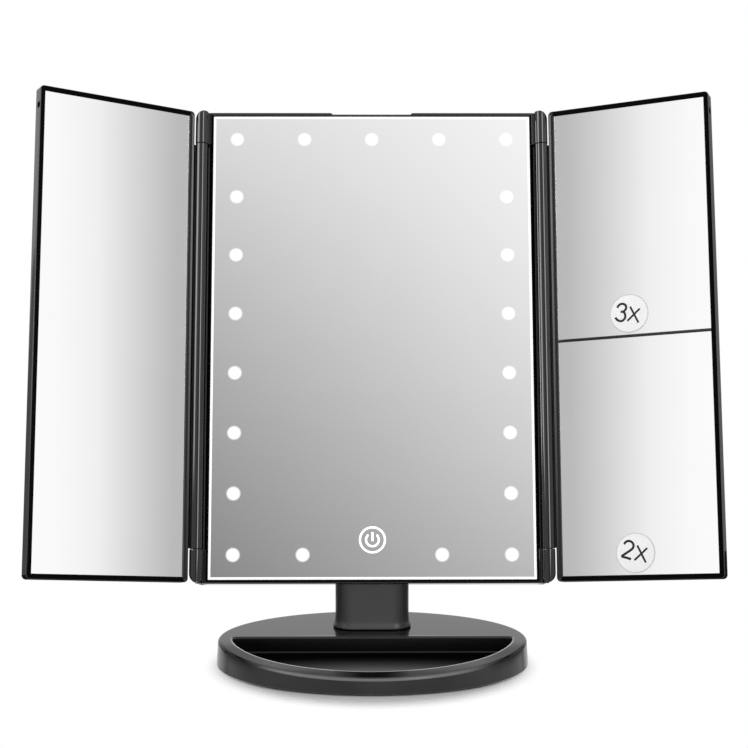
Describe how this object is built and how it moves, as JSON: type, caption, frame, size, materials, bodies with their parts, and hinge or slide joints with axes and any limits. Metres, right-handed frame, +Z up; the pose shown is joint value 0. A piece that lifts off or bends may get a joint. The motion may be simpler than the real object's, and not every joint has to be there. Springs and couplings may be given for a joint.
{
  "type": "lighted vanity mirror",
  "caption": "Free-standing make-up mirror: LED-edged middle mirror with two hinged side mirrors, tilting on a neck over an oval tray base.",
  "frame": {"origin": "middle of the base's rubber pad, on the surface that the object stands on", "axes": "+Z up, +X to the viewer's right across the mirrors, -Y towards the viewer"},
  "size_m": [0.327, 0.1228, 0.28],
  "materials": {
    "shell_plastic": "satin black ABS with a fine moulded texture",
    "frame_plastic": "smooth black ABS",
    "white_plastic": "white translucent plastic",
    "mirror_glass": "silvered float glass",
    "circuit_board": "solder-masked glass fibre",
    "led_chip": "white LED package, lit",
    "contact_brass": "plated spring brass",
    "steel": "zinc-plated steel",
    "nylon": "natural nylon",
    "pad_rubber": "soft black rubber",
    "foam": "white adhesive foam",
    "cell_wrap": "plain sleeve on a steel can",
    "wire_sleeve": "plastic insulation",
    "label_film": "white printed film"
  },
  "bodies": {
    "stand": {"base_shell": "shell_plastic", "base_bottom_cover": "shell_plastic", "base_pad": "pad_rubber", "ballast_plate": "steel", "base_screws": "steel", "neck_post": "shell_plastic", "neck_screws": "steel", "tilt_bushes": "nylon"},
    "head": {"tilt_axle": "steel", "tilt_washer": "steel", "tilt_nut": "steel", "centre_frame": "frame_plastic", "mirror_surround": "white_plastic", "centre_mirror": "mirror_glass", "light_sheet": "white_plastic", "led_board": "circuit_board", "leds": "led_chip", "touch_sensor": "contact_brass", "rear_cover": "shell_plastic", "rear_cover_screws": "steel", "control_board": "circuit_board", "board_header": "shell_plastic", "usb_socket": "steel", "battery_cells": "cell_wrap", "battery_plates": "contact_brass", "battery_springs": "contact_brass", "battery_wires": "wire_sleeve", "hinge_pins": "steel"},
    "door": {"battery_door": "shell_plastic"},
    "left_leaf": {"left_wing_frame": "frame_plastic", "left_mirror": "mirror_glass", "left_mirror_pad": "foam", "left_back_panel": "shell_plastic"},
    "right_leaf": {"right_wing_frame": "frame_plastic", "upper_magnifier": "mirror_glass", "lower_magnifier": "mirror_glass", "right_mirror_pads": "foam", "right_back_panel": "shell_plastic", "upper_label": "label_film", "lower_label": "label_film"}
  },
  "joints": [
    {"name": "head_tilt", "type": "hinge", "parent": "stand", "child": "head", "pos_m": [0, 0.0245, 0.0682], "axis": [-1, 0, 0], "range_deg": [-13.9, 46.1]},
    {"name": "left_leaf_hinge", "type": "hinge", "parent": "head", "child": "left_leaf", "pos_m": [-0.0852, -0.00745, 0.04108], "axis": [0, 0.2402, 0.9707], "range_deg": [-30.9, 149.1]},
    {"name": "right_leaf_hinge", "type": "hinge", "parent": "head", "child": "right_leaf", "pos_m": [0.0852, -0.00745, 0.04108], "axis": [0, -0.2402, -0.9707], "range_deg": [-24.3, 155.7]},
    {"name": "battery_door_slide", "type": "slide", "parent": "head", "child": "door", "axis": [0, -0.2402, -0.9707], "range_m": [0, 0.014]}
  ]
}
